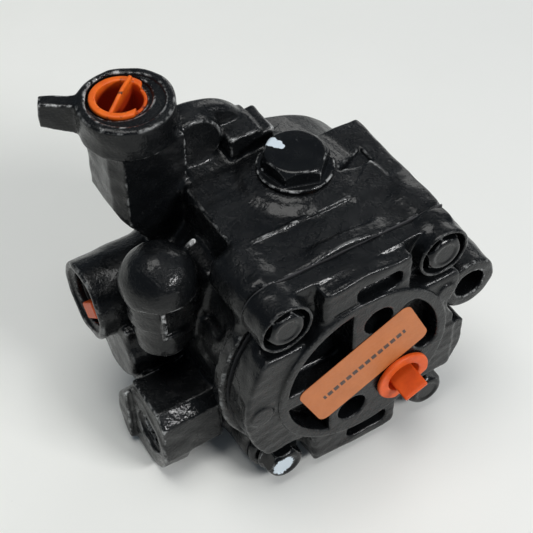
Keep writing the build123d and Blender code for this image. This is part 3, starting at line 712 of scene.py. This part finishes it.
# -------------------------------------------------------------------- port cover
def arc_groove(radius, width, start, end, near, far):
    """Curved groove about the shaft axis, as a string of round-ended runs."""
    stops = [math.radians(start + (end - start) * i / 8) for i in range(9)]
    points = [(radius * math.cos(a), radius * math.sin(a)) for a in stops]

    def distance(*p):
        gap = None
        for (x0, z0), (x1, z1) in zip(points, points[1:]):
            run = (x1 - x0) ** 2 + (z1 - z0) ** 2
            t = np.clip(((p[X] - x0) * (x1 - x0) + (p[Z] - z0) * (z1 - z0)) / run, 0, 1)
            one = np.hypot(p[X] - x0 - t * (x1 - x0), p[Z] - z0 - t * (z1 - z0))
            gap = one if gap is None else np.minimum(gap, one)
        cap = np.abs(p[D] - (near + far) / 2) - (far - near) / 2
        return np.maximum(gap - width / 2, cap)

    wide = radius + width
    return distance, (-wide, near, -wide), (wide, far, wide)


def build_cover(step):
    """The cast port cover."""
    f = Field((-51, -1, -51), (51, 19, 51), step)
    f.add(both(rod(D, 48.6, 1.4, COVER_BACK, 0, 0, 1.2), box(-50, 40, 0, 20, -50, 50, 2)))
    f.add(both(rod(D, 48.6, 1.4, COVER_BACK, 0, 0, 1.2), box(0, 45.4, 0, 20, -30, -3, 2)), 2)
    f.add(box(-18, 18.6, 1.4, COVER_BACK, 0, 47.4, 1.2), 1)
    f.add(box(-20, 17, 1.4, COVER_BACK, -47.4, 0, 1.2), 1)
    for x, z in BOLTS:
        f.add(rod(D, 10, BOLT_SEAT, COVER_BACK, x, z, 0.8), 1.5)
        f.cut(rod(D, 11.5, -2, BOLT_SEAT, x, z, 1), 2)
    for x0, x1, z0, z1 in ((-60, -18, 27, 60), (19, 60, 27, 60), (-60, -21, -60, -29),
                           (18, 60, -60, -29)):
        f.cut(box(x0, x1, -9, BOLT_SEAT, z0, z1, 3), 3)
    f.add(box(BLOCK_LEFT + 0.2, BLOCK_RIGHT - 0.2, 7.2, COVER_BACK, 32, 49.2, 1.2), 2)
    f.add(bead((-29, 4.5, 17.5), (-13, 4.5, 31.5), 3.2), 2)
    for x, z in BOLTS[:2]:
        f.add(rod(D, 10.3, 1.6, COVER_BACK, x, z, 0.7), 1.5)
    f.roughen(0.28, (19, 13, 9, 7, 6, 5), 8)
    for x, z in BOLTS[:2]:
        f.cut(rod(D, 9.0, -2, BOLT_SEAT, x, z, 0.5), 0.6)
    f.add(rod(D, 36, 0, 6, 0, 0, 0.7), 0.6)
    f.add(rod(D, 4.4, 0.5, 6, 35, 18, 0.6), 1.0)
    f.add(both(rod(D, 4.6, 0.7, 6, -42.5, -1, 0.5), box(-48, -37, -1, 6, -6, 4, 0.5)), 0.8)
    f.add(rod(D, 33.7, COVER_BACK - 1, 18.5, 0, 0, 0.4), 0.5)
    f.cut(rod(D, LUG_R + 0.4, -3, 22, LUG_X, LUG_Z, 0.5), 0.8)
    disc = rod(D, 32, -3, 9, 0, 0, 1)
    f.cut(both(disc, box(-34, -6, -4, 9.5, 3.5, 34, 3)), 1.0)
    f.cut(both(disc, box(-34, -14.5, -4, 9.5, -34, -4, 3)), 1.0)
    f.cut(arc_groove(27, 9.5, -4, 47, -3, 9), 1.0)
    f.cut(box(-4.3, 14.3, -4, 7, 35.7, 42.7, 3), 0.8)
    f.cut(box(-5, 12.6, -4, 7, -43.5, -36.5, 3), 0.8)
    f.cut(rod(D, 6, -3, 9, 4.7, 22.4, 0.6), 0.6)
    f.cut(rod(D, 6, -3, 9, -4.5, -22.2, 0.6), 0.6)
    f.cut(rod(D, PORT_R, -3, 22, PORT_X, PORT_Z, 0.5), 0.6)
    f.cut(rod(D, 11.5, 10.5, 22, 0, 0, 0.3))
    for x, z in BOLTS:
        f.cut(rod(D, 4.4, 0, 22, x, z, 0.3))
    return f.surface()


# ----------------------------------------------------------------- screws and plug
def hexagon(axis, flats, start, end, c1, c2, turn, edge=0.4):
    """Hexagonal prism, flats apart, with its first corner turned by an angle."""
    reach = flats / math.sqrt(3)
    corners = [(c1 + reach * math.cos(math.radians(turn + 60 * k)),
                c2 + reach * math.sin(math.radians(turn + 60 * k))) for k in range(6)]
    return prism(axis, corners, start, end, edge)


def build_screw(x, z, turn, step):
    """Hexagon flange screw head with its shank."""
    f = Field((x - 9, 0.5, z - 9), (x + 9, 32, z + 9), step)
    f.add(rod(D, 4, 8, 32, x, z, 0.4))
    f.add(rod(D, 8.35, BOLT_SEAT - 1.5, BOLT_SEAT, x, z, 0.4), 0.4)
    f.add(rod(D, 6.2, BOLT_SEAT - 3.2, BOLT_SEAT - 0.4, x, z, 0.2, 8.2), 0.5)
    crown = rod(D, 6.0, 1.05, BOLT_SEAT, x, z, 0.6, 13.0)
    f.add(both(hexagon(D, 13, 1.05, BOLT_SEAT - 1, x, z, turn), crown), 0.5)
    f.cut(rod(D, 4.6, -2, 1.5, x, z, 0.3, 4.2), 0.5)
    return f.surface()


def build_plug(step):
    """Large hexagon plug with its washer face."""
    f = Field((PLUG_X - 14.5, PLUG_DEPTH - 14.5, 44), (PLUG_X + 14.5, PLUG_DEPTH + 14.5, 61), step)
    f.add(rod(Z, 9, 45.2, 53.5, PLUG_X, PLUG_DEPTH, 0.3))
    f.add(rod(Z, 14, 53, 54.3, PLUG_X, PLUG_DEPTH, 0.5), 0.3)
    crown = rod(Z, 20, 50, 60.5, PLUG_X, PLUG_DEPTH, 0.6, 10.7)
    f.add(both(hexagon(Z, 22, 53.5, 60.5, PLUG_X, PLUG_DEPTH, 42), crown), 0.7)
    f.cut(rod(Z, 5.5, 40, 55, PLUG_X, PLUG_DEPTH, 0.3))
    return f.surface()


# --------------------------------------------------------------------- port caps
def build_front_cap(step):
    """Cap in the cover's port: a broken flange, a cup and a flat blade to pull."""
    f = Field((PORT_X - 12, -11, PORT_Z - 12), (PORT_X + 12, 13, PORT_Z + 12), step)
    f.add(rod(D, PORT_R - 0.05, -1, 12.4, PORT_X, PORT_Z, 0.6))
    f.add(rod(D, 11.1, -2.3, -0.35, PORT_X, PORT_Z, 0.7), 0.5)
    f.cut(rod(D, 6.8, -6, 11, PORT_X, PORT_Z, 0.5), 0.6)
    mouth = box(PORT_X + 7.6, PORT_X + 13, -4, 0.2, PORT_Z - 12, PORT_Z + 12, 0.4)
    f.cut(turned(mouth, D, -60, (PORT_X, 0, PORT_Z)), 0.5)
    blade = box(PORT_X - 5.15, PORT_X + 5.15, -10.4, 11.5, PORT_Z - 0.85, PORT_Z + 0.85, 0.6)
    f.add(turned(blade, D, 23, (PORT_X, 0, PORT_Z)), 0.6)
    return f.surface()


def build_tower_cap(step):
    """Cap in the tower: a split flange round a cup, with a thin leaf that stands proud."""
    cx, cd, top = BORE_X, BORE_DEPTH, TOWER_TOP
    f = Field((cx - 12, cd - 12, 67.5), (cx + 12, cd + 12, top + 2), step)
    f.add(rod(Z, TOWER_BORE_R - 0.05, 68.1, top - 1, cx, cd, 0.6))
    f.add(rod(Z, 10.6, top - 2.3, top - 0.4, cx, cd, 0.6), 0.5)
    f.cut(rod(Z, 8.1, 69.6, top + 9, cx, cd, 0.5), 0.6)
    gap = box(cx + 6.6, cx + 14, cd - 12, cd + 12, top - 2.2, top + 4, 0.3)
    f.cut(turned(gap, Z, -36, (cx, cd, 0)), 0.5)
    leaf = [(cx - 8.4, 69), (cx + 8.4, 69), (cx + 9.4, top + 1.25), (cx + 2.5, top + 1.0),
            (cx - 8.4, top - 1.6)]
    f.add(turned(prism(D, leaf, cd - 0.75, cd + 0.75, 0.5), Z, 38, (cx, cd, 0)), 0.6)
    return f.surface()


def build_side_cap(step):
    """Cap pressed into the side port, with a thick grip bar low across it."""
    d, z = SIDE_DEPTH, SIDE_Z
    f = Field((-75, d - 11.5, z - 11.5), (-59, d + 11.5, z + 11.5), step)
    f.add(rod(X, SIDE_BORE_R - 0.05, -70.9, -60.1, d, z, 0.6))
    f.cut(rod(X, 9.0, -80, -61.7, d, z, 0.5), 0.5)
    bar_d, bar_z = d - 3, z - 3
    bar = box(-74.3, -61, bar_d - 6.6, bar_d + 6.6, bar_z - 3.2, bar_z + 3.2, 0.6)
    f.add(turned(bar, X, -45, (0, bar_d, bar_z)), 0.5)
    return f.surface()


# ------------------------------------------------------------------------- label
LABEL_CENTRE, LABEL_TURN = (-0.5, 1.6), math.radians(25.5)
LABEL_SIZE, LABEL_CORNER, LABEL_THICK = (50.8, 25.4), 3.5, 0.22


def label_paper():
    """Blank orange label with one row of plain dark dashes."""
    material, tree, shader = new_material("orange_label_paper")
    place = tree.nodes.new("ShaderNodeSeparateXYZ")
    tree.links.new(object_coordinates(tree), place.inputs[0])
    along, across = place.outputs["X"], place.outputs["Z"]
    pitch = 2.9 * MM
    phase = maths(tree, "ABSOLUTE", maths(tree, "SUBTRACT", maths(
        tree, "FRACT", maths(tree, "DIVIDE", along, pitch)), 0.5))
    dash = maths(tree, "LESS_THAN", phase, 0.36)
    row = maths(tree, "LESS_THAN", maths(tree, "ABSOLUTE", across), 1.2 * MM)
    reach = maths(tree, "LESS_THAN", maths(tree, "ABSOLUTE", along), 18.9 * MM)
    ink = maths(tree, "MULTIPLY", maths(tree, "MULTIPLY", dash, row), reach)
    fade = ramp(tree, noise(tree, 700.0, 4.0, 0.7), [(0.3, 0.75), (0.5, 1.0)])
    ink = maths(tree, "MULTIPLY", ink, fade)
    paper = ramp(tree, noise(tree, 130.0, 5.0, 0.6),
                 [(0.3, (0.47, 0.14, 0.034)), (0.7, (0.55, 0.17, 0.045))])
    tree.links.new(mix(tree, ink, paper, (0.05, 0.035, 0.03)), shader.inputs["Base Color"])
    tree.links.new(ramp(tree, noise(tree, 900.0), [(0.3, 0.42), (0.7, 0.55)]),
                   shader.inputs["Roughness"])
    tree.links.new(bump(tree, noise(tree, 160.0, 2.0), 0.0003, 0.25), shader.inputs["Normal"])
    return material


def build_label():
    """Flat label with rounded corners and softened edges."""
    mesh = bmesh.new()
    wide, high = (s / 2 * MM for s in LABEL_SIZE)
    corner = LABEL_CORNER * MM
    outline = []
    for cx, cz, start in ((wide, high, 0), (-wide, high, 90), (-wide, -high, 180),
                          (wide, -high, 270)):
        for i in range(9):
            a = math.radians(start + 90 * i / 8)
            outline.append((cx - math.copysign(corner, cx) + corner * math.cos(a),
                            cz - math.copysign(corner, cz) + corner * math.sin(a)))
    back = [mesh.verts.new((x, -0.02 * MM, z)) for x, z in outline]
    front = [mesh.verts.new((x, -LABEL_THICK * MM, z)) for x, z in outline]
    mesh.faces.new(front)
    mesh.faces.new(back[::-1])
    for i in range(len(outline)):
        j = (i + 1) % len(outline)
        mesh.faces.new((back[i], back[j], front[j], front[i]))
    bmesh.ops.recalc_face_normals(mesh, faces=mesh.faces)
    bmesh.ops.bevel(mesh, geom=[e for e in mesh.edges if e.calc_face_angle(0) > 1.0],
                    offset=0.06 * MM, segments=2, affect="EDGES")
    data = bpy.data.meshes.new("port_label")
    mesh.to_mesh(data)
    mesh.free()
    piece = bpy.data.objects.new("port_label", data)
    bpy.context.scene.collection.objects.link(piece)
    piece.matrix_world = (
        Matrix.Translation((LABEL_CENTRE[0] * MM, -MOUNT_DEPTH * MM, LABEL_CENTRE[1] * MM))
        @ Matrix.Rotation(-LABEL_TURN, 4, "Y"))
    data.materials.append(label_paper())
    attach(piece, "housing")
    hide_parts("label")


# -------------------------------------------------------------------- put together
mesh_object("casting", *build_housing(0.65), CASTING, "housing", ["pump_housing"], "black_paint")
mesh_object("port_cover", *build_cover(0.5), COVER_PAINT, "housing", ["front_cover"],
            "black_paint_cover")
HEAD_TURNS = (12, 40, 5, 27)
for number, ((x, z), turn) in enumerate(zip(BOLTS, HEAD_TURNS), 1):
    replaced = ["cover_bolts"] if number == 1 else []
    mesh_object(f"cover_screw_{number}", *build_screw(x, z, turn, 0.4), HEAD_PAINT, "housing",
                replaced, "black_paint_bolts")
mesh_object("large_plug", *build_plug(0.45), HEAD_PAINT, "housing", ["hex_plug"],
            "black_paint_bolts")
mesh_object("front_port_cap_part", *build_front_cap(0.4), ORANGE, "front_port_cap",
            ["front_cap"], "orange_plastic")
mesh_object("tower_port_cap_part", *build_tower_cap(0.4), ORANGE_SMUDGED_SHADED, "tower_port_cap",
            ["tower_cap"], "orange_plastic")
mesh_object("side_port_cap_part", *build_side_cap(0.45), ORANGE_INSIDE, "side_port_cap",
            ["side_cap"], "orange_plastic")
build_label()

FINISHES = {
    "ground_steel": GROUND, "plain_steel": PLAIN, "cage_steel": PLAIN, "spring_steel": SPRING,
    "bronze": BRONZE, "soft_copper": COPPER, "seal_rubber": NITRILE, "gasket_paper": FIBRE,
    "black_paint_plug": HEAD_PAINT,
}
for row in frame["record"]["subparts"]:
    node = frame["nodes"][row["node"]]
    finish = FINISHES.get(row["material_slot"])
    if finish is not None:
        node.data.materials.clear()
        node.data.materials.append(finish)
        for face in node.data.polygons:
            face.material_index = 0

# ------------------------------------------------------------- floor, light, camera
FLOOR_Z = cad_low[2]


def floor_material():
    """Pale matt table top, faintly marked, with painted shade that makes it a little greyer
    towards the front right.
    """
    material, tree, shader = new_material("pale_floor")
    cloud = ramp(tree, noise(tree, 9.0, 5.0, 0.6), [(0.3, (0.92, 0.925, 0.88)),
                                                    (0.7, (0.96, 0.96, 0.92))])
    place = tree.nodes.new("ShaderNodeSeparateXYZ")
    tree.links.new(object_coordinates(tree), place.inputs[0])
    # Painted shade: the table top is mixed towards grey towards the front right.
    behind = maths(tree, "MULTIPLY", 0.9, place.outputs["Y"])
    across = maths(tree, "SUBTRACT", place.outputs["X"], behind)
    fade = ramp(tree, maths(tree, "ADD", 0.5, across), [(0.28, 0.0), (0.95, 1.0)])
    cloud = mix(tree, fade, cloud, (0.74, 0.745, 0.73))
    flecks = ramp(tree, noise(tree, 260.0, 4.0, 0.7), [(0.70, 0.0), (0.8, 0.35)])
    tree.links.new(mix(tree, flecks, cloud, (0.5, 0.5, 0.48)), shader.inputs["Base Color"])
    shader.inputs["Roughness"].default_value = 0.8
    shader.inputs["Specular IOR Level"].default_value = 0.15
    tree.links.new(bump(tree, noise(tree, 120.0, 4.0), 0.0002, 0.3), shader.inputs["Normal"])
    return material


bpy.ops.mesh.primitive_grid_add(x_subdivisions=4, y_subdivisions=4, size=6.0,
                                location=(0, 0, FLOOR_Z))
floor = bpy.context.object
floor.name = "floor"
floor.data.materials.append(floor_material())


def area_light(name, place, target, size, power, colour=(1, 1, 1)):
    """Soft rectangular light aimed at a point."""
    data = bpy.data.lights.new(name, "AREA")
    data.shape = "RECTANGLE"
    data.size, data.size_y = size
    data.energy = power
    data.color = colour
    light = bpy.data.objects.new(name, data)
    light.location = place
    aim = Vector(target) - Vector(place)
    light.rotation_euler = aim.to_track_quat("-Z", "Y").to_euler()
    bpy.context.scene.collection.objects.link(light)


MIDDLE = (0, -0.04, 0)
area_light("overhead", (-0.15, 0.0, 1.3), MIDDLE, (0.8, 0.7), 9.5, (1.0, 0.995, 0.97))
area_light("front_card", (0.36, -0.82, 0.58), MIDDLE, (0.4, 0.13), 6.2, (1.0, 1.0, 1.0))
area_light("window", (1.0, 0.75, 0.5), MIDDLE, (0.6, 0.5), 2.4, (1.0, 0.99, 0.96))

world = bpy.data.worlds.new("studio")
world.use_nodes = True
world.node_tree.nodes["Background"].inputs["Color"].default_value = (0.72, 0.84, 1.0, 1)
world.node_tree.nodes["Background"].inputs["Strength"].default_value = 0.16
scene = bpy.context.scene
scene.world = world
scene.view_settings.view_transform = "Standard"

CAMERA_AT = Vector((-179.2, -316.7, 384.1)) * MM
CAMERA_RIGHT = Vector((0.8526, -0.5225, -0.0080))
CAMERA_UP = Vector((0.3967, 0.6373, 0.6607))
CAMERA_LENS = 90.57
right = CAMERA_RIGHT.normalized()
back = right.cross(CAMERA_UP).normalized()
up = back.cross(right)
data = bpy.data.cameras.new("camera")
data.lens = CAMERA_LENS
data.sensor_width = 36.0
data.clip_start, data.clip_end = 0.01, 20.0
camera = bpy.data.objects.new("camera", data)
camera.matrix_world = Matrix.Translation(CAMERA_AT) @ Matrix(
    [[right[i], up[i], back[i]] for i in range(3)]).to_4x4()
scene.collection.objects.link(camera)
scene.camera = camera
